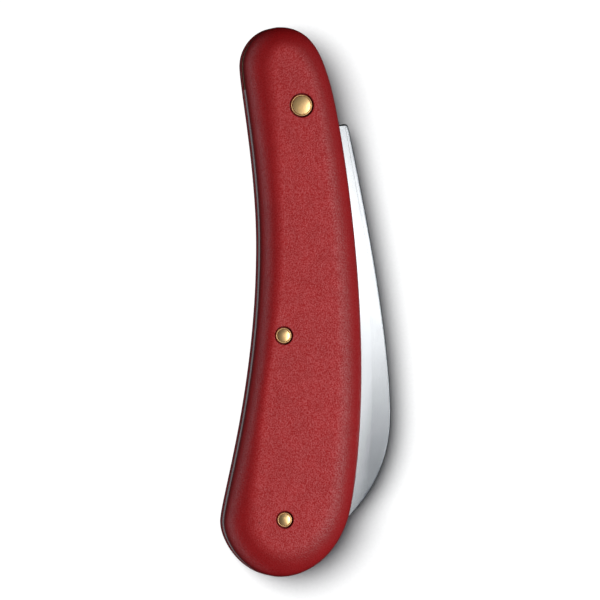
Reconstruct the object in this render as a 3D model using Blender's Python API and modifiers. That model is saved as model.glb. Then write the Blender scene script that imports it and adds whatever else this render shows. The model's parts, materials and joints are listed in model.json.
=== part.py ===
"""A folding garden knife, closed, lying on its rear scale.

The knife lies in the XY plane: +Y runs towards the pivot end, +X towards the side where the
blade's spine stands out of the slot, +Z up through the thickness. The origin is on the table,
under the middle of the closed knife. Constants are in millimetres and degrees.
"""

import math
from collections import namedtuple

import bmesh
import bpy
from mathutils import Matrix, Vector
from mathutils.geometry import interpolate_bezier

MM = 0.001

# Thickness, from the rear flat face at z = 0 up to the front one.
THICKNESS = 15.0
LINER_THICKNESS = 0.5
SPRING_THICKNESS = 2.5
BLADE_THICKNESS = 2.3
STACK_GAP = 0.05
MIDDLE_Z = THICKNESS / 2
SPRING_TOP = MIDDLE_Z + SPRING_THICKNESS / 2
LINER_TOP = SPRING_TOP + STACK_GAP + LINER_THICKNESS
SCALE_INSIDE = LINER_TOP + STACK_GAP

# The scale's side: an upright wall, then a rounding of this height up to the flat face.
ROUNDING_HEIGHT = 3.95
ROUNDING_RINGS = 6
LINER_INSET = 0.3
SPRING_INSET = 0.1

# Rivets: centre, shank radius, and the radius of the washer that rims the head.
Rivet = namedtuple("Rivet", "name x y shank rim")
PIVOT = Rivet("pivot", -2.0, 39.3, 1.5, 2.18)
MIDDLE = Rivet("spring", -5.6, -6.7, 1.1, 1.6)
TAIL = Rivet("tail", -5.4, -43.5, 1.0, 1.5)
RIVETS = (PIVOT, MIDDLE, TAIL)
PIN_CLEARANCE = 0.05
TURN_STEPS = 24

# The round recess in the scale's flat face, and the washer that lies at the bottom of it.
RECESS_MARGIN = 0.26
RECESS_DEPTH = 1.3
WASHER_LIFT = 0.05
WASHER_SEAT = 0.55
WASHER_LIP_WIDTH = 0.26
WASHER_LIP_HEIGHT = 0.27
WASHER_BEVEL = 0.1
HEAD_EDGE = 0.2
CROWN_DROP = 0.06

# The tang turns inside the spring's free end: round, with a flat for closed, half open and open.
TANG_RADIUS = 6.1
TANG_FLAT = 5.7
SPRING_CLEARANCE = 0.05

# The blade's edge is ground to the arc of a wheel between the heel and the point.
HEEL = Vector((-0.5, 29.0))
POINT = Vector((3.2, -47.4))
EDGE_HOLLOW = 4.5
GRIND_WIDTH = 6.5
EDGE_LAND = 0.16
WHEEL_STEPS = 480
STOP_SIZE = Vector((2000.0, 600.0, 100.0))

# The spring is one stamped strip. It is cut at the place where it bends most, a little above
# the middle rivet, so that its arm can turn there.
FLEX = Vector((-7.75, 0.0))
FLEX_GAP = 0.12
SPRING_ROOT_X = -5.6

CUTTER_OVERRUN = 3.0
CURVE_STEPS = 10

# A point of an outline: where it is, the heading of travel there, how far the curve's handles
# reach before and after it, and on the handle the width of the scale's rounding there.
Knot = namedtuple("Knot", "x y heading before after rounding", defaults=(0, 0, 0, 0))

HANDLE_OUTLINE = (
    Knot(-5.9, 55.0, 0, 4.1, 6.4, 4.8),
    Knot(4.1, 44.3, -73, 5.4, 6.1, 4.4),
    Knot(10.6, -14.0, -90, 26.6, 13.2, 5.2),
    Knot(7.9, -43.2, -107, 4.5, 8.9, 5.4),
    Knot(-5.7, -55.0, 180, 4.6, 7.1, 5.9),
    Knot(-17.0, -44.1, 90, 3.7, 3.0, 6.0),
    Knot(-11.8, -16.4, 81.6, 14.9, 8.0, 3.1),
    Knot(-9.7, 11.3, 90, 10.4, 15.6, 4.0),
    Knot(-13.1, 47.4, 90, 4.2, 3.8, 6.0),
)


def clear_scene():
    for obj in list(bpy.data.objects):
        bpy.data.objects.remove(obj, do_unlink=True)


def new_collection(name):
    collection = bpy.data.collections.new(name)
    bpy.context.scene.collection.children.link(collection)
    return collection


def new_material(name, colour, roughness, metallic=0.0):
    material = bpy.data.materials.new(name)
    material.use_nodes = True
    shader = material.node_tree.nodes["Principled BSDF"]
    shader.inputs["Base Color"].default_value = (*colour, 1.0)
    shader.inputs["Roughness"].default_value = roughness
    shader.inputs["Metallic"].default_value = metallic
    material.diffuse_color = (*colour, 1.0)
    return material


def direction(heading):
    return Vector((math.cos(math.radians(heading)), math.sin(math.radians(heading))))


def add_mesh_object(name, mesh, collection, material=None):
    obj = bpy.data.objects.new(name, mesh)
    if material:
        mesh.materials.append(material)
    collection.objects.link(obj)
    return obj


def as_cutter(obj):
    obj.hide_render = True
    obj.display_type = "WIRE"
    return obj


def cut(obj, cutter, operation="DIFFERENCE"):
    modifier = obj.modifiers.new(cutter.name, "BOOLEAN")
    modifier.operation = operation
    modifier.object = cutter
    return modifier


def set_origin(obj, x, y):
    """Puts the object's origin on an upright axis, and leaves its shape where it is."""
    place = Vector((x, y, 0)) * MM
    obj.data.transform(Matrix.Translation(-place))
    obj.location = place


def smooth_round(obj, angle=35):
    obj.data.shade_smooth()
    obj.data.set_sharp_from_angle(angle=math.radians(angle))


# --- flat plates from outlines ---


def bezier_from(knots):
    """A flat closed Bezier curve through the knots. A reach of 0 leaves that side straight."""
    curve = bpy.data.curves.new("outline", "CURVE")
    curve.dimensions = "2D"
    curve.fill_mode = "BOTH"
    curve.resolution_u = CURVE_STEPS
    spline = curve.splines.new("BEZIER")
    spline.bezier_points.add(len(knots) - 1)
    spline.use_cyclic_u = True
    for point, knot in zip(spline.bezier_points, knots):
        place = Vector((knot.x, knot.y)) * MM
        ahead = direction(knot.heading) * MM
        point.co = place.to_3d()
        point.handle_left_type = "FREE" if knot.before else "VECTOR"
        point.handle_right_type = "FREE" if knot.after else "VECTOR"
        point.handle_left = (place - ahead * knot.before).to_3d()
        point.handle_right = (place + ahead * knot.after).to_3d()
    return curve


def plate(name, knots, low, high, collection, material=None, inset=0.0):
    """The outline as a solid plate between two heights, as a mesh that can be cut."""
    curve = bezier_from(knots)
    curve.extrude = (high - low) / 2 * MM
    curve.offset = -inset * MM
    guide = bpy.data.objects.new("guide", curve)
    guide.location.z = (low + high) / 2 * MM
    collection.objects.link(guide)
    graph = bpy.context.evaluated_depsgraph_get()
    mesh = bpy.data.meshes.new_from_object(guide.evaluated_get(graph))
    mesh.transform(guide.evaluated_get(graph).matrix_world)
    bpy.data.objects.remove(guide)
    shape = bmesh.new()
    shape.from_mesh(mesh)
    bmesh.ops.remove_doubles(shape, verts=shape.verts, dist=0.001 * MM)
    bmesh.ops.recalc_face_normals(shape, faces=shape.faces)
    shape.to_mesh(mesh)
    shape.free()
    return add_mesh_object(name, mesh, collection, material)


def column(name, rivet, radius, low, high, collection):
    """A round upright cutter on a rivet's axis."""
    shape = bmesh.new()
    bmesh.ops.create_cone(
        shape,
        cap_ends=True,
        segments=TURN_STEPS,
        radius1=radius * MM,
        radius2=radius * MM,
        depth=(high - low) * MM,
    )
    mesh = bpy.data.meshes.new(name)
    shape.to_mesh(mesh)
    shape.free()
    obj = add_mesh_object(name, mesh, collection)
    obj.location = Vector((rivet.x, rivet.y, (low + high) / 2)) * MM
    return as_cutter(obj)


def pin_holes(cutters):
    """One cutter through the whole knife for each rivet's shank."""
    return [
        column(
            rivet.name + "_hole",
            rivet,
            rivet.shank + PIN_CLEARANCE,
            -CUTTER_OVERRUN,
            THICKNESS + CUTTER_OVERRUN,
            cutters,
        )
        for rivet in RIVETS
    ]


# --- scales ---


def trace(knots):
    """Points along the outline, each with its inward normal and the rounding's width there."""
    points = []
    for start, end in zip(knots, knots[1:] + knots[:1]):
        first, last = Vector((start.x, start.y)), Vector((end.x, end.y))
        first_handle = first + direction(start.heading) * start.after
        last_handle = last - direction(end.heading) * end.before
        stretch = interpolate_bezier(first, first_handle, last_handle, last, CURVE_STEPS + 1)
        for step, point in enumerate(stretch[:-1]):
            share = step / CURVE_STEPS
            blend = share * share * (3 - 2 * share)
            points.append((point, start.rounding + (end.rounding - start.rounding) * blend))
    traced = []
    for index, (point, width) in enumerate(points):
        along = points[(index + 1) % len(points)][0] - points[index - 1][0]
        inward = Vector((along.y, -along.x)).normalized()
        traced.append((point, inward, width))
    return traced


def loft(name, rings, collection, material):
    """A closed body over rings of equal length, with a flat face across each end."""
    shape = bmesh.new()
    layers = [[shape.verts.new(Vector(point) * MM) for point in ring] for ring in rings]
    count = len(rings[0])
    for below, above in zip(layers, layers[1:]):
        for index in range(count):
            after = (index + 1) % count
            shape.faces.new((below[index], below[after], above[after], above[index]))
    shape.faces.new(layers[0])
    shape.faces.new(layers[-1])
    bmesh.ops.recalc_face_normals(shape, faces=shape.faces)
    mesh = bpy.data.meshes.new(name)
    shape.to_mesh(mesh)
    shape.free()
    return add_mesh_object(name, mesh, collection, material)


def make_scale(name, side, outline, holes, parts, cutters, material):
    """A moulded scale. side is 1 for the front one, above the liners, and -1 for the rear one."""
    rings = [[(p.x, p.y, MIDDLE_Z + side * (SCALE_INSIDE - MIDDLE_Z)) for p, _, _ in outline]]
    for ring in range(ROUNDING_RINGS + 1):
        turn = math.pi / 2 * ring / ROUNDING_RINGS
        height = MIDDLE_Z - ROUNDING_HEIGHT * (1 - math.sin(turn))
        rings.append(
            [
                (*(p + inward * width * (1 - math.cos(turn))), MIDDLE_Z + side * height)
                for p, inward, width in outline
            ]
        )
    scale = loft(name, rings, parts, material)
    for hole in holes:
        cut(scale, hole)
    face = MIDDLE_Z + side * MIDDLE_Z
    for rivet in RIVETS:
        ends = sorted((face - side * RECESS_DEPTH, face + side * CUTTER_OVERRUN))
        recess_name = f"{name}_{rivet.name}_recess"
        cut(scale, column(recess_name, rivet, rivet.rim + RECESS_MARGIN, *ends, cutters))
    smooth_round(scale)
    return scale


# --- liners and back spring ---


def make_liner(name, side, holes, parts, material):
    inner = SPRING_TOP + STACK_GAP - MIDDLE_Z
    outer = LINER_TOP - MIDDLE_Z
    low, high = sorted((MIDDLE_Z + side * inner, MIDDLE_Z + side * outer))
    liner = plate(name, HANDLE_OUTLINE, low, high, parts, material, inset=LINER_INSET)
    for hole in holes:
        cut(liner, hole)
    smooth_round(liner)
    return liner


def make_spring(holes, parts, cutters, material):
    """The arm and the tail of the back spring.

    Each is a plate of the handle's own outline, kept only inside a zone, so that the spring's
    back follows the handle's. A zone's outer points lie well outside the handle.
    """
    contact = PIVOT.x - TANG_RADIUS - SPRING_CLEARANCE
    arm_zone = (
        Knot(-18.0, 41.5),
        Knot(contact, 43.35),
        Knot(contact, 33.0, -90, 0, 7.0),
        Knot(SPRING_ROOT_X, 10.0, -90, 8.0, 0),
        Knot(SPRING_ROOT_X, FLEX.y + FLEX_GAP / 2),
        Knot(-18.0, FLEX.y + FLEX_GAP / 2),
    )
    tail_zone = (
        Knot(-18.0, FLEX.y - FLEX_GAP / 2),
        Knot(SPRING_ROOT_X, FLEX.y - FLEX_GAP / 2, -75, 0, 2.0),
        Knot(-2.4, -6.7, -90, 3.0, 4.0),
        Knot(-6.3, -20.0, -97, 5.0, 9.0),
        Knot(-1.6, -43.5, -88, 11.0, 4.0),
        Knot(-2.2, -58.0),
        Knot(-22.0, -58.0),
    )
    pieces = []
    for name, zone in (("back_spring_arm", arm_zone), ("back_spring_tail", tail_zone)):
        piece = plate(
            name,
            HANDLE_OUTLINE,
            MIDDLE_Z - SPRING_THICKNESS / 2,
            SPRING_TOP,
            parts,
            material,
            inset=SPRING_INSET,
        )
        zone_top = THICKNESS + CUTTER_OVERRUN
        keep = as_cutter(plate(name + "_zone", zone, -CUTTER_OVERRUN, zone_top, cutters))
        cut(piece, keep, "INTERSECT")
        pieces.append(piece)
    arm, tail = pieces
    set_origin(arm, FLEX.x, FLEX.y)
    for hole in holes[1:]:
        cut(tail, hole)
    for piece in pieces:
        smooth_round(piece)
    return pieces


# --- blade ---


def tang_corner(angle):
    """The two knots of one round corner of the tang, between two flats, centred on angle."""
    half = 45 - math.degrees(math.acos(TANG_FLAT / TANG_RADIUS))
    reach = 4 / 3 * math.tan(math.radians(half) / 2) * TANG_RADIUS
    knots = []
    for turn, before, after in ((half, 0, reach), (-half, reach, 0)):
        place = Vector(PIVOT[1:3]) + direction(angle + turn) * TANG_RADIUS
        knots.append(Knot(place.x, place.y, angle + turn - 90, before, after))
    return knots


def blade_outline():
    """Clockwise: shoulder, spine, point, the stock left of the edge, kick, then round the tang."""
    return (
        Knot(PIVOT.x + TANG_FLAT, 35.0),
        Knot(7.6, 35.7, 11, 0, 0.6),
        Knot(8.55, 34.6, -78, 0.6, 11.0),
        Knot(17.0, -22.7, -90, 17.2, 10.3),
        Knot(POINT.x, POINT.y, -146.6, 10.5, 0),
        Knot(0.8, -49.0),
        Knot(-3.0, 26.0, 95, 0, 2.0),
        Knot(PIVOT.x - TANG_FLAT, 32.6, 110, 2.5, 0),
        *tang_corner(135),
        *tang_corner(45),
    )


def grinding_wheel(cutters):
    """A turned cutter. Its rim leaves the thin edge land, and its two cones hollow the faces."""
    chord = POINT - HEEL
    radius = (chord.length_squared / 4 + EDGE_HOLLOW**2) / (2 * EDGE_HOLLOW)
    towards_edge = Vector((chord.y, -chord.x)).normalized()
    centre = (HEEL + POINT) / 2 + towards_edge * (radius - EDGE_HOLLOW)
    slope = GRIND_WIDTH / (BLADE_THICKNESS / 2 - EDGE_LAND / 2)
    top = BLADE_THICKNESS
    outside = radius + slope * (top - EDGE_LAND / 2)
    profile = ((0, top), (outside, top), (radius, EDGE_LAND / 2))
    mirrored = tuple((r, -z) for r, z in reversed(profile))
    wheel = turned("grinding_wheel", profile + mirrored, cutters, steps=WHEEL_STEPS)
    wheel.location = Vector((centre.x, centre.y, MIDDLE_Z)) * MM
    cut(wheel, grinding_stop(cutters))
    return as_cutter(wheel)


def grinding_stop(cutters):
    """A block over everything above the heel. The wheel is cut away there, to leave the tang."""
    shape = bmesh.new()
    bmesh.ops.create_cube(shape, size=MM, matrix=Matrix.Diagonal((*STOP_SIZE, 1)))
    mesh = bpy.data.meshes.new("grinding_stop")
    shape.to_mesh(mesh)
    shape.free()
    stop = add_mesh_object("grinding_stop", mesh, cutters)
    stop.location = Vector((0, HEEL.y + STOP_SIZE.y / 2, MIDDLE_Z)) * MM
    return as_cutter(stop)


def make_blade(pivot_hole, parts, cutters, material):
    half = BLADE_THICKNESS / 2
    blade = plate("blade", blade_outline(), MIDDLE_Z - half, MIDDLE_Z + half, parts, material)
    cut(blade, grinding_wheel(cutters))
    cut(blade, pivot_hole)
    set_origin(blade, PIVOT.x, PIVOT.y)
    smooth_round(blade, 20)
    return blade


# --- rivets and washers ---


def turned(name, profile, collection, material=None, steps=TURN_STEPS):
    """A body of revolution about Z. The profile runs down its outer side, top to bottom."""
    shape = bmesh.new()
    verts = [shape.verts.new((radius * MM, 0, z * MM)) for radius, z in profile]
    for first, second in zip(verts, verts[1:]):
        shape.edges.new((first, second))
    if profile[0][0] or profile[-1][0]:
        shape.edges.new((verts[-1], verts[0]))
    mesh = bpy.data.meshes.new(name)
    shape.to_mesh(mesh)
    shape.free()
    obj = add_mesh_object(name, mesh, collection, material)
    screw = obj.modifiers.new("turn", "SCREW")
    screw.steps = steps
    screw.render_steps = steps
    screw.use_merge_vertices = True
    screw.merge_threshold = 0.00001
    screw.use_smooth_shade = True
    return obj


def dome(radius, low, high, steps=3):
    """Profile points of a shallow dome, from its crown on the axis down to its edge."""
    points = []
    for step in range(steps + 1):
        share = step / steps
        points.append((radius * share, high - (high - low) * share * share))
    return points


def make_rivet(rivet, parts, material):
    """A pin with a domed head at each end, sunk to just under the two flat faces."""
    head = rivet.rim - WASHER_LIP_WIDTH - PIN_CLEARANCE
    crown = MIDDLE_Z - CROWN_DROP
    underside = MIDDLE_Z - RECESS_DEPTH + WASHER_LIFT + WASHER_SEAT + PIN_CLEARANCE
    upper = dome(head, underside + HEAD_EDGE, crown)
    upper += [(head, underside), (rivet.shank, underside)]
    lower = [(radius, -z) for radius, z in reversed(upper)]
    obj = turned(rivet.name + "_rivet", upper + lower, parts, material)
    obj.location = Vector((rivet.x, rivet.y, MIDDLE_Z)) * MM
    return obj


def make_washer(rivet, side, parts, material):
    """A dished ring at the bottom of the scale's recess. Its lip rims the rivet's head."""
    floor = WASHER_LIFT
    seat = floor + WASHER_SEAT
    top = seat + WASHER_LIP_HEIGHT
    bore = rivet.shank + PIN_CLEARANCE
    lip = rivet.rim - WASHER_LIP_WIDTH
    profile = (
        (bore, seat),
        (lip, seat),
        (lip, top),
        (rivet.rim - WASHER_BEVEL, top - WASHER_BEVEL / 2),
        (rivet.rim, top - WASHER_BEVEL * 3 / 2),
        (rivet.rim, floor),
        (bore, floor),
    )
    base = MIDDLE_Z - RECESS_DEPTH
    if side > 0:
        placed = [(radius, base + z) for radius, z in profile]
    else:
        placed = [(radius, -base - z) for radius, z in reversed(profile)]
    where = "front" if side > 0 else "rear"
    obj = turned(f"{where}_{rivet.name}_washer", placed, parts, material)
    obj.location = Vector((rivet.x, rivet.y, MIDDLE_Z)) * MM
    return obj


def main():
    clear_scene()
    parts = new_collection("garden_knife")
    cutters = new_collection("cutters")
    red_plastic = new_material("red_plastic", (0.38, 0.035, 0.045), 0.5)
    polished_steel = new_material("polished_steel", (0.72, 0.74, 0.77), 0.12, 1.0)
    spring_steel = new_material("spring_steel", (0.6, 0.61, 0.63), 0.25, 1.0)
    brass = new_material("brass", (0.75, 0.52, 0.22), 0.25, 1.0)
    liner_brass = new_material("liner_brass", (0.68, 0.52, 0.26), 0.4, 1.0)

    holes = pin_holes(cutters)
    outline = trace(HANDLE_OUTLINE)
    for where, side in (("front", 1), ("rear", -1)):
        make_scale(where + "_scale", side, outline, holes, parts, cutters, red_plastic)
        make_liner(where + "_liner", side, holes, parts, liner_brass)
        for rivet in RIVETS:
            make_washer(rivet, side, parts, brass)
    make_spring(holes, parts, cutters, spring_steel)
    make_blade(holes[0], parts, cutters, polished_steel)
    for rivet in RIVETS:
        make_rivet(rivet, parts, brass)


main()
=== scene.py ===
"""The looks of the folding garden knife.

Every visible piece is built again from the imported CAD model's own outlines, heights and axes,
in the same place but with a finer surface, and gets its finish here. Lengths are in
millimetres, and MM turns them to metres where they meet Blender.
"""

import json
import math
from collections import namedtuple

import bmesh
import bpy
from mathutils import Matrix, Vector
from mathutils.geometry import interpolate_bezier, intersect_line_line_2d

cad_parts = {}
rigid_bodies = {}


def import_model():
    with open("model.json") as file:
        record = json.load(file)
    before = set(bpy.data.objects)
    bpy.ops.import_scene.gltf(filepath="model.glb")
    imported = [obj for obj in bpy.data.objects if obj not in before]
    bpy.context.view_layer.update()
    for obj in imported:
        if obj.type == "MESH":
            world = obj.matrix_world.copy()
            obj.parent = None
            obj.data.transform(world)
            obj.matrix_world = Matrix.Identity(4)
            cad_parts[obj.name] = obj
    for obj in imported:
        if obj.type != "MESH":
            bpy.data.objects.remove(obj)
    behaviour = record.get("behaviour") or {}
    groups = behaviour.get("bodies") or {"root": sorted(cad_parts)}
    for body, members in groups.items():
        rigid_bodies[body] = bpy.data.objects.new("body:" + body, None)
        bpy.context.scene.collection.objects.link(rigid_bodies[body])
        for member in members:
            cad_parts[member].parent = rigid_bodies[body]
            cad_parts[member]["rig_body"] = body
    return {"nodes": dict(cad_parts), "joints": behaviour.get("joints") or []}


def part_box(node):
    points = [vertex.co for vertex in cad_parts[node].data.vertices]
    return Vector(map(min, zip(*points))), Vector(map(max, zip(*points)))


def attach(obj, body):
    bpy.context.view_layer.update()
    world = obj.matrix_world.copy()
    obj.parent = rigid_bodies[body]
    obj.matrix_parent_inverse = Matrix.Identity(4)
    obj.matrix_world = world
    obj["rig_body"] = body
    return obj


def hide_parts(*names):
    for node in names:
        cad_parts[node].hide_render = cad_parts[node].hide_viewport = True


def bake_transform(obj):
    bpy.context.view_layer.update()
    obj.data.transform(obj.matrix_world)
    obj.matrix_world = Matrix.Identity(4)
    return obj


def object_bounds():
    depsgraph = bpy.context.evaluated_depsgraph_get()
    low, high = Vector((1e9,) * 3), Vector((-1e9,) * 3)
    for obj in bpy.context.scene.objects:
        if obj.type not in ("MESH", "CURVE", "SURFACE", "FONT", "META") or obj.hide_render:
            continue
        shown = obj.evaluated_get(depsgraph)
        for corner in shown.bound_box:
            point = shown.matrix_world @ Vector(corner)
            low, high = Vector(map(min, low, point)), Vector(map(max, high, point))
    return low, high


MM = 0.001
UP = Vector((0, 0, 1))

# How finely the CAD outlines are filled in, and where they count as having a corner. The
# corners of the tang's flats turn by more than CORNER_TURN, the rounded shoulder's facets by less.
WELD = 0.0001
POINT_SPACING = 0.4
STRAIGHT_TURN = math.radians(0.05)
CORNER_TURN = math.radians(20)

# The plastic scales.
ROUNDING_HEIGHT = 3.95
ROUNDING_RINGS = 24
MOULD_EDGE = 0.12
FLAT_MARGIN = 0.3
RECESS_MARGIN = 0.26
RECESS_LIP = 0.1
RECESS_LIP_STEPS = 4
RECESS_FLOOR_GAP = 0.05
JUST_BELOW = 0.005

# Edge roundings of the stamped metal plates. The blade is clear of its tang where it lies
# TANG_REACH radii of the pivot's head, or more, to the right of the pivot.
LINER_ROUND = 0.06
SPRING_ROUND = 0.3
SPINE_CROWN_WIDTH = 0.42
SPINE_CROWN_HEIGHT = 0.95
CROWN_GROWTH = 0.12
TANG_ROUND = 0.1
TANG_REACH = 4
PLATE_MARGIN = 0.25
ROUND_STEPS = 12
CROWN_STEPS = 22

# The grind, from the edge out: the edge's own bevel, then a wide convex face that runs up
# almost level into the blade's flat. The flat starts a little before the convex face's crown.
EDGE_SHAVE = 0.04
EDGE_LAND = 0.04
EDGE_BEVEL_WIDTH = 0.72
STOCK_BEHIND_EDGE = 0.32
GRIND_WIDTH = 7.1
GRIND_CROWN = 7.5
GRIND_STEPS = 16
GROUND_OFF = 3.0
WHEEL_STEPS = 900

# Rivets and the washers that rim their heads.
PIN_GAP = 0.05
HEAD_THICKNESS = 0.59
HEAD_CROWN = 0.15
HEAD_SHOULDER = 0.14
DOME_STEPS = 14
WASHER_LIP_WIDTH = 0.26
WASHER_LIP_HEIGHT = 0.27
WASHER_LIP_ROUND = 0.18
WASHER_LIP_FALL = 0.02
LIP_STEPS = 8
TURN_STEPS = 96
RIVETS = ("pivot", "spring", "tail")

# A face whose normal is this nearly upright is flat. Edges over these angles, in degrees, are
# shaded crisp.
LEVEL = 0.99999
SCALE_SHARP = 25
PLATE_SHARP = 35
BLADE_SHARP = 10
TURNED_SHARP = 40

# The spring's outline is left out over this much of its length, to each side of the joint, and bridged
# smoothly.
SPRING_GAP = 0.2

# The camera: its tilt to the left of straight down, its lens, the width of its view and how
# far the view's middle lies from the knife's.
CAMERA_TILT = math.radians(8)
CAMERA_LENS = 500.0
CAMERA_FIELD = 120.4
CAMERA_SHIFT = Vector((-1.3, 0.4))

FLOOR_REACH = 3000.0
FLOOR_GAP = 0.05
FLOOR_DARK = (0.54, 0.54, 0.54, 1)
FLOOR_LIGHT = (0.56, 0.56, 0.56, 1)
FLOOR_FIBRE = 0.6

# The floor's light: the direction it comes from, how wide it looks and how strong it is.
SUN_FROM = Vector((-0.35, 0.13, 0.8))
SUN_WIDTH = math.radians(36)
SUN_STRENGTH = 6.2

# A lit card over or beside the knife: its angle to the right of straight up, in degrees, its distance,
# how far along the knife it lies, its width and length, and how bright it looks.
Card = namedtuple("Card", "name tilt distance along wide long brightness")
HANDLE_CARDS = (
    Card("top_card", 6, 310, 0, 65, 80, 1.4),
    Card("side_card", 33, 380, -50, 100, 260, 8.5),
)
BLADE_CARD = Card("blade_card", 3, 310, 9, 140, 62, 1.75)
BLADE_CARD_SPIN = math.radians(6)
SPINE_CARD = Card("spine_card", 60, 380, 0, 60, 260, 4.0)
OPEN_BLADE_CARD = Card("open_blade_card", -4, 310, 215, 300, 250, 0.8)

# How bright the studio is round the knife, by the angle to the right of straight up.
STUDIO_ROUND = (
    (-180, 0.02),
    (-130, 0.03),
    (-108, 0.3),
    (-92, 1.2),
    (-78, 2.0),
    (-65, 0.35),
    (-52, 0.05),
    (-30, 0.03),
    (-10, 0.09),
    (6, 0.15),
    (50, 0.30),
    (70, 0.20),
    (90, 0.4),
    (110, 0.10),
    (145, 0.04),
    (180, 0.02),
)
STUDIO_BRIGHTEST = max(level for _, level in STUDIO_ROUND)
STUDIO_TINT = Vector((0.90, 0.97, 1.06))

# The studio's light falls off to these shares past the pivot end and past the tail, between
# these values of a direction's y.
STUDIO_PAST_PIVOT = 0.05
STUDIO_PIVOT_FALL = (0.1, 1.0)
STUDIO_PAST_TAIL = 0.7
STUDIO_TAIL_FALL = (-1.0, -0.3)

# Nearly all of a noise texture's values lie between these.
NOISE_LOW = 0.3
NOISE_HIGH = 0.7

# The plastic: its spark-eroded grain, and two broader kinds of unevenness.
GRAIN_SIZE = 0.26
GRAIN_DETAIL = 1.0
GRAIN_DEPTH = 0.08
MOTTLE_SIZE = 2.6
CLOUD_SIZE = 18

# The steel: its scratches, and the smears between them.
SCRATCH_DETAIL = 4.0
SCRATCH_ROUGH = 0.65
SCRATCH_DEPTH = 0.002
SMEAR_SIZE = (6, 9, 6)

# The brass: its dents, its turning marks and its film of tarnish.
DENT_SIZE = 0.9
DENT_DEPTH = 0.03
TURNING_MARK_SIZE = (0.08, 0.5, 0.08)
TURNING_MARK_DEPTH = 0.004
BRASS_RELIEF = 0.4
FILM_SIZE = 1.6
FILM_DETAIL = 3.0

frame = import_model()
cad_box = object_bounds()
BOXES = {node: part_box(node) for node in frame["nodes"]}


# --- outlines read from the CAD model ---


def walk(shape):
    """The closed loops of a mesh that has only edges, as lists of its vertices."""
    done = set()
    loops = []
    for start in shape.verts:
        if start in done:
            continue
        loop = [start]
        ahead = [start]
        while ahead:
            done.add(loop[-1])
            ahead = [edge.other_vert(loop[-1]) for edge in loop[-1].link_edges]
            ahead = [vert for vert in ahead if vert not in done]
            loop += ahead[:1]
        loops.append(loop)
    return loops


def turn_at(loop, index):
    here = loop[index]
    return (here - loop[index - 1]).angle(loop[(index + 1) % len(loop)] - here)


def clockwise(loop):
    area = sum(a.cross(b) for a, b in zip(loop, loop[1:] + loop[:1]))
    return loop[::-1] if area > 0 else loop


def section(node, height):
    """The outlines where a CAD node crosses a level plane, the longest first."""
    shape = bmesh.new()
    shape.from_mesh(frame["nodes"][node].data)
    bmesh.ops.remove_doubles(shape, verts=shape.verts, dist=WELD * MM)
    bmesh.ops.bisect_plane(
        shape,
        geom=shape.verts[:] + shape.edges[:] + shape.faces[:],
        plane_co=UP * height * MM,
        plane_no=UP,
        clear_inner=True,
        clear_outer=True,
    )
    loops = [[vert.co.xy / MM for vert in loop] for loop in walk(shape)]
    shape.free()
    loops.sort(key=perimeter, reverse=True)
    return [clockwise(without_straights(loop)) for loop in loops]


def perimeter(loop):
    return sum((b - a).length for a, b in zip(loop, loop[1:] + loop[:1]))


def without_straights(loop):
    return [point for i, point in enumerate(loop) if turn_at(loop, i) > STRAIGHT_TURN]


def tangent(loop, index):
    """The heading of a smooth curve through a point and its two neighbours."""
    before = loop[index] - loop[index - 1]
    after = loop[(index + 1) % len(loop)] - loop[index]
    near, far = before.length, after.length
    return (before / near * far + after / far * near) / (near + far)


def fine(loop):
    """The loop filled in with smooth curves. Its sharp corners stay sharp."""
    filled = []
    for i, start in enumerate(loop):
        following = (i + 1) % len(loop)
        end = loop[following]
        reach = (end - start).length / 3
        ahead = behind = (end - start).normalized()
        if turn_at(loop, i) < CORNER_TURN:
            ahead = tangent(loop, i)
        if turn_at(loop, following) < CORNER_TURN:
            behind = tangent(loop, following)
        steps = max(1, round(3 * reach / POINT_SPACING))
        curve = interpolate_bezier(
            start, start + ahead * reach, end - behind * reach, end, steps + 1
        )
        filled += [point.xy for point in curve[:-1]]
    return filled


def inward_steps(outline):
    """At each point of a clockwise outline, the step that moves both its sides in by 1."""
    steps = []
    for i, here in enumerate(outline):
        before = (here - outline[i - 1]).normalized()
        after = (outline[(i + 1) % len(outline)] - here).normalized()
        along = (before + after).normalized()
        steps.append(Vector((along.y, -along.x)) / max(0.5, along.dot(after)))
    return steps


def reach_to(point, step, loop):
    """How far a loop lies from a point along a step."""
    far = point + step * GRIND_WIDTH * 2
    nearest = math.inf
    for a, b in zip(loop, loop[1:] + loop[:1]):
        hit = intersect_line_line_2d(point, far, a, b)
        if hit:
            nearest = min(nearest, (hit - point).length)
    return nearest


def radius_of(loop):
    return (max(p.x for p in loop) - min(p.x for p in loop)) / 2


def heights(node):
    low, high = BOXES[node]
    return low.z / MM, high.z / MM


def centre_of(node):
    low, high = BOXES[node]
    return (low + high) / 2


def half_width(node):
    low, high = BOXES[node]
    return (high.x - low.x) / 2 / MM


# --- making meshes ---


def new_object(name, shape):
    bmesh.ops.recalc_face_normals(shape, faces=shape.faces)
    mesh = bpy.data.meshes.new(name)
    shape.to_mesh(mesh)
    shape.free()
    obj = bpy.data.objects.new(name, mesh)
    bpy.context.scene.collection.objects.link(obj)
    return obj


def sweep(name, outline, widths, profile):
    """A closed body with the outline's shape.

    Each row of the profile is one ring: how far in it lies, as a share of the width at each
    point, how high it is, and how much it counts as an edge, which the finishes use.
    """
    shape = bmesh.new()
    edge = shape.verts.layers.float.new("edge")
    steps = inward_steps(outline)
    layers = []
    for inset, height, mark in profile:
        layer = []
        for point, step, width in zip(outline, steps, widths):
            place = point + step * width * inset
            vert = shape.verts.new(Vector((place.x, place.y, height)) * MM)
            vert[edge] = mark
            layer.append(vert)
        layers.append(layer)
    for below, above in zip(layers, layers[1:]):
        for i in range(len(outline)):
            after = (i + 1) % len(outline)
            shape.faces.new((below[i], below[after], above[after], above[i]))
    shape.faces.new(layers[0])
    shape.faces.new(layers[-1])
    return new_object(name, shape)


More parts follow.
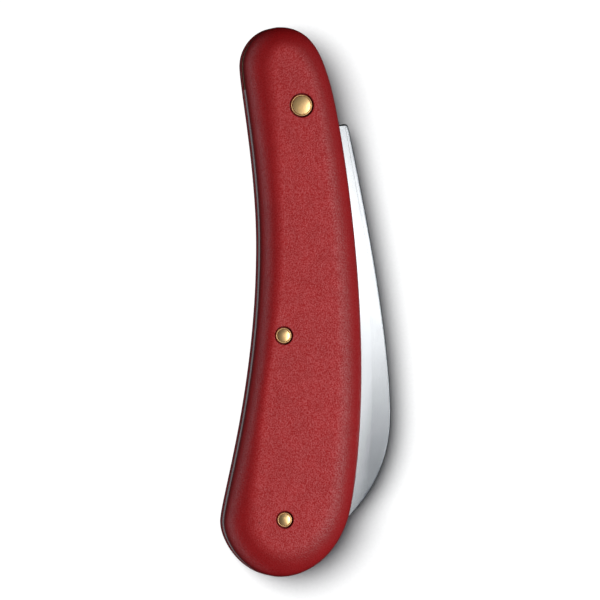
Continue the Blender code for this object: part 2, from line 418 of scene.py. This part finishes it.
def quarter(steps):
    """Angles from 0 to a quarter turn."""
    return [math.pi / 2 * step / steps for step in range(steps + 1)]


def plate(name, outline, widths, low, high, rounding, steps=ROUND_STEPS):
    """A flat plate whose edges are rounded over this height, and in by the width at each point."""
    inner = 1 + PLATE_MARGIN / max(widths)
    profile = [(inner, low, 0.0)]
    for turn in quarter(steps):
        height = low + rounding * (1 - math.cos(turn))
        profile.append((1 - math.sin(turn), height, math.sin(2 * turn)))
    profile += [(inset, low + high - height, mark) for inset, height, mark in profile[::-1]]
    return sweep(name, outline, widths, profile)


def even_plate(name, outline, low, high, rounding):
    return plate(name, outline, [rounding] * len(outline), low, high, rounding)


def turned(name, profile, centre, steps=TURN_STEPS):
    """A closed body of revolution about an upright axis. The profile holds radii and heights."""
    shape = bmesh.new()
    rings = []
    for radius, height in profile:
        ring = []
        for step in range(steps if radius else 1):
            turn = math.tau * step / steps
            place = Vector((radius * math.cos(turn), radius * math.sin(turn), height))
            ring.append(shape.verts.new(place * MM))
        rings.append(ring)
    pairs = list(zip(rings, rings[1:]))
    if profile[0][0]:
        pairs.append((rings[-1], rings[0]))
    for first, second in pairs:
        for step in range(steps):
            after = (step + 1) % steps
            corners = [first[step % len(first)], first[after % len(first)]]
            corners += [second[after % len(second)], second[step % len(second)]]
            shape.faces.new(dict.fromkeys(corners))
    obj = new_object(name, shape)
    obj.location = centre
    return obj


def cut(obj, cutter):
    """Takes the cutter's shape out of the object, for good."""
    bpy.context.view_layer.update()
    modifier = obj.modifiers.new("cut", "BOOLEAN")
    modifier.operation = "DIFFERENCE"
    modifier.object = cutter
    graph = bpy.context.evaluated_depsgraph_get()
    mesh = bpy.data.meshes.new_from_object(obj.evaluated_get(graph))
    obj.modifiers.clear()
    obj.data = mesh
    bpy.data.objects.remove(cutter)


def pin_cutter(rivet):
    """A round cutter through the whole knife for a rivet's shank."""
    name = rivet + "_rivet"
    low, high = heights(name)
    radius = shank_radius(rivet) + PIN_GAP
    profile = ((0, high), (radius, high), (radius, low), (0, low))
    return turned("pin_cutter", profile, centre_of(name) * Vector((1, 1, 0)))


def shank_radius(rivet):
    middle = centre_of(rivet + "_rivet").z / MM
    return radius_of(section(rivet + "_rivet", middle)[0])


def shade(obj, sharp):
    """Smooth shading that keeps flat faces flat, and edges over an angle crisp."""
    obj.data.shade_smooth()
    obj.data.set_sharp_from_angle(angle=math.radians(sharp))
    for face in obj.data.polygons:
        face.use_smooth = abs(face.normal.z) < LEVEL


def stand_in(piece, material, slot, *nodes):
    """The piece takes the place of these CAD nodes, which are hidden, and gets the material."""
    piece.data.materials.clear()
    piece.data.materials.append(material)
    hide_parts(*nodes)


def ride_with(piece, node):
    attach(piece, frame["nodes"][node]["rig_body"])


# --- the pieces ---


def recess_cutter(rivet, side, face, inside):
    """The round recess round a rivet's head, with a softened lip, and its pin's hole."""
    where = "front" if side > 0 else "rear"
    low, high = heights(f"{where}_{rivet}_washer")
    floor = (low if side > 0 else high) - side * RECESS_FLOOR_GAP
    radius = recess_radius(rivet)
    wide = radius + RECESS_LIP
    profile = [(0, face + side), (wide, face + side)]
    for turn in quarter(RECESS_LIP_STEPS):
        lip = face - side * RECESS_LIP * (1 - math.cos(turn))
        profile.append((wide - RECESS_LIP * math.sin(turn), lip))
    bore = shank_radius(rivet) + PIN_GAP
    profile += [(radius, floor), (bore, floor), (bore, inside - side), (0, inside - side)]
    centre = centre_of(rivet + "_rivet") * Vector((1, 1, 0))
    return turned("recess_cutter", profile, centre)


def rounding_widths(node, outline, height):
    """How far in the flat face starts at each point of the outline.

    It is measured on an outline just under the face, where the rounding is nearly all done,
    and which runs smoothly past the recesses.
    """
    level = fine([p for p in section(node, height)[0] if not in_recess(p)])
    done = 1 - math.sqrt(1 - (1 - JUST_BELOW / ROUNDING_HEIGHT) ** 2)
    steps = inward_steps(outline)
    return [reach_to(point, step, level) / done for point, step in zip(outline, steps)]


def in_recess(point):
    return any(
        (point - centre_of(rivet + "_rivet").xy / MM).length < recess_radius(rivet) + PIN_GAP
        for rivet in RIVETS
    )


def recess_radius(rivet):
    return half_width(f"front_{rivet}_washer") + RECESS_MARGIN


def unmark(scale, face):
    """Nothing on the flat face counts as an edge, right up to its recesses."""
    marks = scale.data.attributes["edge"].data
    for vert in scale.data.vertices:
        if abs(vert.co.z / MM - face) < WELD:
            marks[vert.index].value = 0.0


def make_scale(where, side, material):
    """A moulded scale: an upright wall, then a rounding up to the flat face."""
    node = where + "_scale"
    low, high = heights(node)
    face, inside = (high, low) if side > 0 else (low, high)
    outline = fine(section(node, inside + side)[0])
    widths = rounding_widths(node, outline, face - side * JUST_BELOW)
    mean = sum(widths) / len(widths)
    profile = [(MOULD_EDGE / mean * 2, inside, 0.5), (MOULD_EDGE / mean, inside, 0.5)]
    profile.append((0, inside + side * MOULD_EDGE, 1.0))
    for turn in quarter(ROUNDING_RINGS):
        height = face - side * ROUNDING_HEIGHT * (1 - math.sin(turn))
        profile.append((1 - math.cos(turn), height, 1 - turn / (math.pi / 2)))
    profile.append((1 + FLAT_MARGIN / mean, face, 0.0))
    scale = sweep(node + "_moulding", outline, widths, profile)
    for rivet in RIVETS:
        cut(scale, recess_cutter(rivet, side, face, inside))
    unmark(scale, face)
    shade(scale, SCALE_SHARP)
    stand_in(scale, material, "handle_plastic", node)
    ride_with(scale, node)
    return scale


def make_liner(where, material):
    node = where + "_liner"
    low, high = heights(node)
    outline = fine(section(node, (low + high) / 2)[0])
    liner = even_plate(node + "_plate", outline, low, high, LINER_ROUND)
    for rivet in RIVETS:
        cut(liner, pin_cutter(rivet))
    shade(liner, PLATE_SHARP)
    stand_in(liner, material, "liner_brass", node)
    ride_with(liner, node)
    return liner


def from_gap(loop, gap):
    """A loop's points, started just after its end at the gap and ended just before it."""
    apart = [abs(point.y - gap) > SPRING_GAP for point in loop]
    start = next(i for i in range(len(loop)) if apart[i] and not apart[i - 1])
    turned_round = loop[start:] + loop[:start]
    return [point for point in turned_round if abs(point.y - gap) > SPRING_GAP]


def make_spring(material):
    """One strip of steel, from the arm's and the tail's outlines joined where the joint is."""
    arm, tail = "back_spring_arm", "back_spring_tail"
    low, high = heights(arm)
    middle = (low + high) / 2
    joint = next(j for j in frame["joints"] if j["name"] == "spring_flex")
    gap = joint["pos_m"][1] / MM
    loops = [from_gap(section(node, middle)[0], gap) for node in (arm, tail)]
    spring = even_plate("back_spring_strip", fine(loops[0] + loops[1]), low, high, SPRING_ROUND)
    for rivet in RIVETS[1:]:
        cut(spring, pin_cutter(rivet))
    shade(spring, PLATE_SHARP)
    stand_in(spring, material, "spring_steel", arm, tail)
    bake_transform(spring)
    return spring


def circle_through(a, b, c):
    """The centre and radius of the circle through three points."""
    ab, ac = b - a, c - a
    doubled = 2 * ab.cross(ac)
    x = (ac.y * ab.length_squared - ab.y * ac.length_squared) / doubled
    y = (ab.x * ac.length_squared - ac.x * ab.length_squared) / doubled
    return a + Vector((x, y)), Vector((x, y)).length


def grind_profile(half):
    """The wheel's side from its top in to its rim: how far out from the rim, and how high."""
    behind = STOCK_BEHIND_EDGE / 2
    fullness = (half - behind) / (1 - (1 - GRIND_WIDTH / GRIND_CROWN) ** 2)
    profile = [(EDGE_BEVEL_WIDTH - GRIND_CROWN, 2 * half), (GRIND_CROWN, 2 * half)]
    for step in range(GRIND_STEPS + 1):
        out = GRIND_CROWN + (EDGE_BEVEL_WIDTH - GRIND_CROWN) * step / GRIND_STEPS
        profile.append((out, behind + fullness * (1 - (1 - out / GRIND_CROWN) ** 2)))
    return profile + [(0, EDGE_LAND / 2)]


def wheel_cutter(outline, top_face, low, high):
    """The grinding wheel, as a turned cutter that stops short of the tang."""
    edge = [p for p in outline if min((p - q).length for q in top_face) > GROUND_OFF]
    edge.sort(key=lambda point: point.y)
    centre, radius = circle_through(edge[0], edge[len(edge) // 2], edge[-1])
    radius += EDGE_SHAVE
    middle = (low + high) / 2
    half = (high - low) / 2
    upper = [(radius + out, z) for out, z in grind_profile(half)]
    lower = [(r, -z) for r, z in reversed(upper)]
    place = Vector((centre.x, centre.y, middle)) * MM
    wheel = turned("wheel", upper + lower, place, WHEEL_STEPS)
    corners = [p for i, p in enumerate(outline) if turn_at(outline, i) > CORNER_TURN]
    heel = min(corners, key=lambda corner: (corner - edge[-1]).length)
    stop = bmesh.new()
    # Large enough to take the whole wheel off beyond the heel.
    size = Vector((4 * radius, 4 * radius, 8 * half))
    bmesh.ops.create_cube(stop, size=MM, matrix=Matrix.Diagonal((*size, 1)))
    block = new_object("grinding_stop", stop)
    block.location = Vector((centre.x, heel.y + size.y / 2, middle)) * MM
    cut(wheel, block)
    return wheel


def shoulder_height(outline):
    """How far up the spine goes: the blade's height well clear of the tang."""
    pivot = centre_of("pivot_rivet") / MM
    above = [p.y for p in outline if p.x > pivot.x + half_width("pivot_rivet") * TANG_REACH]
    return max(above) + POINT_SPACING


def crown_widths(outline):
    """How far in the spine's crown reaches. It runs out at the corners and round the tang."""
    corners = [p for i, p in enumerate(outline) if turn_at(outline, i) > CORNER_TURN]
    shoulder = shoulder_height(outline)
    widths = []
    for point in outline:
        room = min((point - corner).length for corner in corners) * CROWN_GROWTH
        wide = SPINE_CROWN_WIDTH if point.y < shoulder else TANG_ROUND
        widths.append(max(TANG_ROUND, min(wide, room)))
    return widths


def make_blade(material):
    low, high = heights("blade")
    outline = fine(section("blade", (low + high) / 2)[0])
    top_face = fine(section("blade", high - JUST_BELOW)[0])
    widths = crown_widths(outline)
    blade = plate("blade_ground", outline, widths, low, high, SPINE_CROWN_HEIGHT, CROWN_STEPS)
    cut(blade, wheel_cutter(outline, top_face, low, high))
    cut(blade, pin_cutter("pivot"))
    shade(blade, BLADE_SHARP)
    stand_in(blade, material, "blade_steel", "blade")
    ride_with(blade, "blade")
    return blade


def head_profile(head, shank, underside, crown):
    """Half of a rivet from its crown down: a low dome, a rolled shoulder, and the shank."""
    inner = head - HEAD_SHOULDER
    edge = crown - HEAD_CROWN
    points = []
    for step in range(DOME_STEPS):
        share = step / DOME_STEPS
        points.append((inner * share, crown - HEAD_CROWN * share**2))
    for turn in quarter(LIP_STEPS):
        fall = HEAD_SHOULDER * (1 - math.cos(turn))
        points.append((inner + HEAD_SHOULDER * math.sin(turn), edge - fall))
    return points + [(head, underside), (shank, underside)]


def make_rivet(rivet, material):
    node = rivet + "_rivet"
    low, high = heights(node)
    head = half_width(node)
    centre = centre_of(node)
    crown = high - centre.z / MM
    upper = head_profile(head, shank_radius(rivet), crown - HEAD_THICKNESS, crown)
    lower = [(radius, -z) for radius, z in reversed(upper)]
    piece = turned(node + "_pin", upper + lower, centre)
    shade(piece, TURNED_SHARP)
    stand_in(piece, material, "rivet_brass", node)
    ride_with(piece, node)
    return piece


def make_washer(where, side, rivet, material):
    """A dished ring whose rolled lip rims the rivet's head."""
    node = f"{where}_{rivet}_washer"
    low, high = heights(node)
    rim = half_width(node)
    tall = high - low
    seat = tall - WASHER_LIP_HEIGHT
    bore = shank_radius(rivet) + PIN_GAP
    inner = rim - WASHER_LIP_WIDTH
    profile = [(bore, 0), (bore, seat), (inner, seat), (inner, tall - WASHER_LIP_FALL)]
    for turn in quarter(LIP_STEPS):
        out = WASHER_LIP_ROUND * (math.sin(turn) - 1)
        profile.append((rim + out, tall - WASHER_LIP_ROUND * (1 - math.cos(turn))))
    profile.append((rim, 0))
    placed = [(r, side * (z - tall / 2)) for r, z in profile]
    washer = turned(node + "_ring", placed, centre_of(node))
    shade(washer, TURNED_SHARP)
    stand_in(washer, material, "rivet_brass", node)
    ride_with(washer, node)
    return washer


# --- finishes ---


class NodeTree:
    """Short calls to add nodes to a tree and to join them."""

    def __init__(self, tree):
        self.tree = tree

    def add(self, kind, inputs=None, **settings):
        node = self.tree.nodes.new(kind)
        for name, value in settings.items():
            setattr(node, name, value)
        for name, value in (inputs or {}).items():
            self.put(node.inputs[name], value)
        return node

    def put(self, socket, value):
        if isinstance(value, bpy.types.NodeSocket):
            self.tree.links.new(value, socket)
        else:
            socket.default_value = value

    def between(self, value, low, high, to_low=0.0, to_high=1.0):
        """The value's place between two levels, as a number between two others."""
        sockets = ("Value", "From Min", "From Max", "To Min", "To Max")
        inputs = dict(zip(sockets, (value, low, high, to_low, to_high)))
        return self.add("ShaderNodeMapRange", inputs).outputs["Result"]

    def math(self, operation, first, second=0.0):
        return self.add("ShaderNodeMath", {0: first, 1: second}, operation=operation).outputs[0]

    def mix(self, share, first, second):
        """One colour blended into another."""
        node = self.add("ShaderNodeMix", data_type="RGBA")
        self.put(node.inputs[0], share)
        self.put(node.inputs[6], first)
        self.put(node.inputs[7], second)
        return node.outputs[2]


class Finish(NodeTree):
    """A material, with calls for its grain."""

    def __init__(self, name):
        self.material = bpy.data.materials.new(name)
        self.material.use_nodes = True
        super().__init__(self.material.node_tree)
        self.shader = self.tree.nodes["Principled BSDF"]
        self.place = self.add("ShaderNodeTexCoord").outputs["Object"]

    def set(self, **inputs):
        for name, value in inputs.items():
            self.put(self.shader.inputs[name.replace("_", " ")], value)

    def stretched(self, x, y, z):
        """The piece's own coordinates, scaled so that a grain of these sizes is one unit."""
        scale = Vector((1 / x, 1 / y, 1 / z)) / MM
        return self.add("ShaderNodeMapping", {"Vector": self.place, "Scale": scale}).outputs[0]

    def noise(self, vector, detail=2.0, rough=0.5):
        inputs = {"Vector": vector, "Scale": 1.0, "Detail": detail, "Roughness": rough}
        return self.add("ShaderNodeTexNoise", inputs).outputs["Fac"]

    def lumps(self, size, detail=2.0):
        """A noise whose lumps have this size in every direction."""
        return self.noise(self.stretched(size, size, size), detail)

    def spread(self, noise, to_low=0.0, to_high=1.0):
        """A noise's whole range, as numbers between two others."""
        return self.between(noise, NOISE_LOW, NOISE_HIGH, to_low, to_high)

    def bump(self, height, depth, strength=1.0, normal=None):
        inputs = {"Height": height, "Distance": depth * MM, "Strength": strength}
        if normal:
            inputs["Normal"] = normal
        return self.add("ShaderNodeBump", inputs).outputs["Normal"]

    def edge(self):
        """How much a point counts as an edge, from the mesh."""
        return self.add("ShaderNodeAttribute", attribute_name="edge").outputs["Fac"]


def red_plastic():
    """Moulded nylon with a fine spark-eroded grain, polished by handling on its roundings.

    The roundings' darker red is painted shade, and the upright walls carry darker painted shade still.
    """
    finish = Finish("red_plastic")
    grain = finish.lumps(GRAIN_SIZE, GRAIN_DETAIL)
    mottle = finish.lumps(MOTTLE_SIZE)
    cloud = finish.lumps(CLOUD_SIZE)
    hollows = (0.580, 0.006, 0.007, 1)
    grains = (0.720, 0.048, 0.052, 1)
    # polished: the roundings' colour, without the grain that handling wore away, and darker than the
    # flat as painted shade.
    polished = (0.450, 0.005, 0.007, 1)
    # wall: painted shade for the upright walls and the lowest part of the roundings, which turn away
    # from the light.
    wall = (0.220, 0.004, 0.005, 1)
    # handled_and_shaded: where the roundings take the polished colour, for both the handling polish
    # and the painted shade.
    handled_and_shaded = finish.between(finish.edge(), 0.03, 0.30)
    matte = finish.mix(finish.spread(grain), hollows, grains)
    colour = finish.mix(handled_and_shaded, matte, polished)
    # Painted shade: the walls and the lowest roundings darken to the wall colour.
    colour = finish.mix(finish.between(finish.edge(), 0.75, 1.0), colour, wall)
    speckle = finish.spread(grain, 0.94, 1.06)
    patch = finish.spread(mottle, 0.96, 1.04)
    broad = finish.spread(cloud, 0.97, 1.03)
    value = finish.math("MULTIPLY", finish.math("MULTIPLY", speckle, patch), broad)
    toned = finish.add("ShaderNodeHueSaturation", {"Color": colour, "Value": value})
    roughness = finish.between(finish.edge(), 0.0, 0.5, 0.52, 0.44)
    uneven = finish.spread(grain, 0.08, -0.08)
    sheen = finish.spread(grain, 0.3, 0.7)
    finish.set(
        Base_Color=toned.outputs[0],
        Roughness=finish.math("ADD", roughness, uneven),
        Specular_IOR_Level=sheen,
        Normal=finish.bump(grain, GRAIN_DEPTH),
    )
    return finish.material


def scratched_steel(name, colour, roughness, along, scratch, metallic=1.0):
    """Polished steel with fine scratches. along is one scratch's size in x, y and z."""
    finish = Finish(name)
    lines = finish.noise(finish.stretched(*along), SCRATCH_DETAIL, SCRATCH_ROUGH)
    smear = finish.noise(finish.stretched(*SMEAR_SIZE))
    dull = finish.spread(smear, -0.02, 0.03)
    worn = finish.between(finish.edge(), 0.2, 0.9, 0.0, 0.35)
    light = tuple(min(1.0, c * 1.12) for c in colour)
    dark = tuple(c * 0.93 for c in colour)
    toned = finish.mix(finish.spread(lines), (*dark, 1), (*colour, 1))
    drawn = finish.spread(lines, roughness, roughness + 0.05)
    finish.set(
        Base_Color=finish.mix(worn, toned, (*light, 1)),
        Metallic=metallic,
        Roughness=finish.math("ADD", drawn, dull),
        Normal=finish.bump(lines, SCRATCH_DEPTH, scratch),
    )
    return finish.material


def brass(name, colour, tarnish, roughness):
    """Brass with turning marks, slight dents from the riveting, and a film of tarnish."""
    finish = Finish(name)
    dents = finish.lumps(DENT_SIZE)
    film = finish.lumps(FILM_SIZE, FILM_DETAIL)
    fine_marks = finish.noise(finish.stretched(*TURNING_MARK_SIZE))
    aged = finish.between(film, 0.35, 0.75, 0.0, 0.55)
    dull = finish.spread(film, roughness, roughness + 0.1)
    soft = finish.bump(dents, DENT_DEPTH, BRASS_RELIEF)
    finish.set(
        Base_Color=finish.mix(aged, (*colour, 1), (*tarnish, 1)),
        Metallic=1.0,
        Roughness=dull,
        Normal=finish.bump(fine_marks, TURNING_MARK_DEPTH, BRASS_RELIEF, soft),
    )
    return finish.material


# --- the studio ---


def make_floor():
    """A wide pale sheet under the knife."""
    shape = bmesh.new()
    size = Matrix.Diagonal((FLOOR_REACH * MM, FLOOR_REACH * MM, 1, 1))
    bmesh.ops.create_grid(shape, x_segments=1, y_segments=1, size=1, matrix=size)
    floor = new_object("floor", shape)
    floor.location.z = cad_box[0].z - FLOOR_GAP * MM
    finish = Finish("paper")
    fibre = finish.lumps(FLOOR_FIBRE)
    finish.set(
        Base_Color=finish.mix(finish.spread(fibre), FLOOR_DARK, FLOOR_LIGHT),
        Roughness=0.9,
    )
    floor.data.materials.append(finish.material)
    floor.visible_diffuse = False
    floor.visible_glossy = False
    return floor


def make_light(name, kind, tilt, distance, along=0.0):
    """A light at an angle to the right of straight up, facing the knife's middle line."""
    light = bpy.data.objects.new(name, bpy.data.lights.new(name, kind))
    bpy.context.scene.collection.objects.link(light)
    middle = (cad_box[0] + cad_box[1]) / 2
    turn = Matrix.Rotation(tilt, 4, "Y")
    place = middle + Vector((0, along, 0)) + turn @ (UP * distance)
    light.matrix_world = Matrix.Translation(place) @ turn
    light.visible_camera = False
    return light


def light_only(light, objects):
    """The light falls on these objects and on nothing else."""
    receivers = bpy.data.collections.new(light.name + "_receivers")
    for obj in objects:
        receivers.objects.link(obj)
    light.light_linking.receiver_collection = receivers


def make_card(card):
    """A rectangular light that looks equally bright from anywhere in front of it."""
    tilt = math.radians(card.tilt)
    light = make_light(card.name, "AREA", tilt, card.distance * MM, card.along * MM)
    light.data.shape = "RECTANGLE"
    light.data.size = card.wide * MM
    light.data.size_y = card.long * MM
    light.data.energy = card.brightness * math.pi * light.data.size * light.data.size_y
    return light


def make_lights(floor, blade, others):
    """Cards that shine on the blade or on all the rest, and a sun that shines on the floor."""
    for card in HANDLE_CARDS:
        light_only(make_card(card), others)
    face = make_card(BLADE_CARD)
    face.matrix_world @= Matrix.Rotation(BLADE_CARD_SPIN, 4, "Z")
    for light in (face, make_card(SPINE_CARD), make_card(OPEN_BLADE_CARD)):
        light_only(light, [blade])
    sun = make_light("floor_light", "SUN", tilt=0.0, distance=1.0)
    sun.rotation_euler = SUN_FROM.to_track_quat("Z", "Y").to_euler()
    sun.data.angle = SUN_WIDTH
    sun.data.energy = SUN_STRENGTH
    light_only(sun, [floor])


def make_world():
    """A dim studio for the knife, and plain white behind it for the camera."""
    world = bpy.data.worlds.new("studio")
    bpy.context.scene.world = world
    world.use_nodes = True
    tree = world.node_tree
    tree.nodes.clear()
    nodes = NodeTree(tree)
    direction = nodes.add("ShaderNodeTexCoord").outputs["Generated"]
    split = nodes.add("ShaderNodeSeparateXYZ", {0: direction})
    x, y, z = (split.outputs[axis] for axis in "XYZ")
    angle = nodes.math("ARCTAN2", x, z)
    ramp = nodes.add("ShaderNodeValToRGB", {0: nodes.between(angle, -math.pi, math.pi)})
    stops = ramp.color_ramp.elements
    while len(stops) < len(STUDIO_ROUND):
        stops.new(0.5)
    for stop, (degrees, level) in zip(stops, STUDIO_ROUND):
        stop.position = (degrees + 180) / 360
        stop.color = (*(STUDIO_TINT * (level / STUDIO_BRIGHTEST)), 1)
    ahead = nodes.between(y, *STUDIO_PIVOT_FALL, 1.0, STUDIO_PAST_PIVOT)
    behind = nodes.between(y, *STUDIO_TAIL_FALL, STUDIO_PAST_TAIL, 1.0)
    ends = nodes.math("MULTIPLY", ahead, behind)
    strength = nodes.math("MULTIPLY", ends, STUDIO_BRIGHTEST)
    light = nodes.add("ShaderNodeBackground", {"Color": ramp.outputs[0], "Strength": strength})
    seen = nodes.add("ShaderNodeBackground", {"Color": (1, 1, 1, 1)})
    camera = nodes.add("ShaderNodeLightPath").outputs["Is Camera Ray"]
    mix = nodes.add("ShaderNodeMixShader", {0: camera, 1: light.outputs[0], 2: seen.outputs[0]})
    nodes.add("ShaderNodeOutputWorld", {"Surface": mix.outputs[0]})


def make_camera():
    """Almost straight down, tilted so that the knife's left side just shows."""
    data = bpy.data.cameras.new("camera")
    data.lens = CAMERA_LENS
    right = Vector((math.cos(CAMERA_TILT), 0, math.sin(CAMERA_TILT)))
    back = Vector((-math.sin(CAMERA_TILT), 0, math.cos(CAMERA_TILT)))
    middle = (cad_box[0] + cad_box[1]) / 2
    target = middle + (right * CAMERA_SHIFT.x + Vector((0, CAMERA_SHIFT.y, 0))) * MM
    distance = CAMERA_FIELD * MM * CAMERA_LENS / data.sensor_width
    camera = bpy.data.objects.new("camera", data)
    bpy.context.scene.collection.objects.link(camera)
    camera.matrix_world = Matrix.Translation(target + back * distance) @ Matrix(
        ((right.x, 0, back.x, 0), (0, 1, 0, 0), (right.z, 0, back.z, 0), (0, 0, 0, 1))
    )
    data.clip_start = distance / 10
    data.clip_end = distance * 10
    bpy.context.scene.camera = camera


def main():
    plastic = red_plastic()
    polished = scratched_steel(
        "polished_steel",
        colour=(0.80, 0.82, 0.84),
        roughness=0.18,
        along=(1.2, 0.02, 1.2),
        scratch=0.2,
    )
    # The spring's pale pinkish colour, made mostly diffuse rather than metallic, is a painted
    # highlight: it gives the bright pinkish line along the spring's side.
    sprung = scratched_steel(
        "spring_steel",
        colour=(1.0, 0.88, 0.85),
        roughness=0.26,
        along=(0.03, 1.5, 0.03),
        scratch=0.4,
        metallic=0.35,
    )
    rivet_brass = brass(
        "rivet_brass", colour=(0.95, 0.64, 0.30), tarnish=(0.70, 0.40, 0.15), roughness=0.34
    )
    # The liners' brass is dark partly from tarnish and partly as painted shade, for their place deep
    # between the scales and the spring.
    liner_brass = brass(
        "liner_brass", colour=(0.40, 0.29, 0.19), tarnish=(0.20, 0.13, 0.08), roughness=0.42
    )
    blade = make_blade(polished)
    pieces = [make_spring(sprung)]
    for where, side in (("front", 1), ("rear", -1)):
        pieces.append(make_scale(where, side, plastic))
        pieces.append(make_liner(where, liner_brass))
        for rivet in RIVETS:
            pieces.append(make_washer(where, side, rivet, rivet_brass))
    for rivet in RIVETS:
        pieces.append(make_rivet(rivet, rivet_brass))
    floor = make_floor()
    make_lights(floor, blade, pieces)
    make_world()
    make_camera()
    bpy.context.scene.view_settings.view_transform = "Standard"


main()
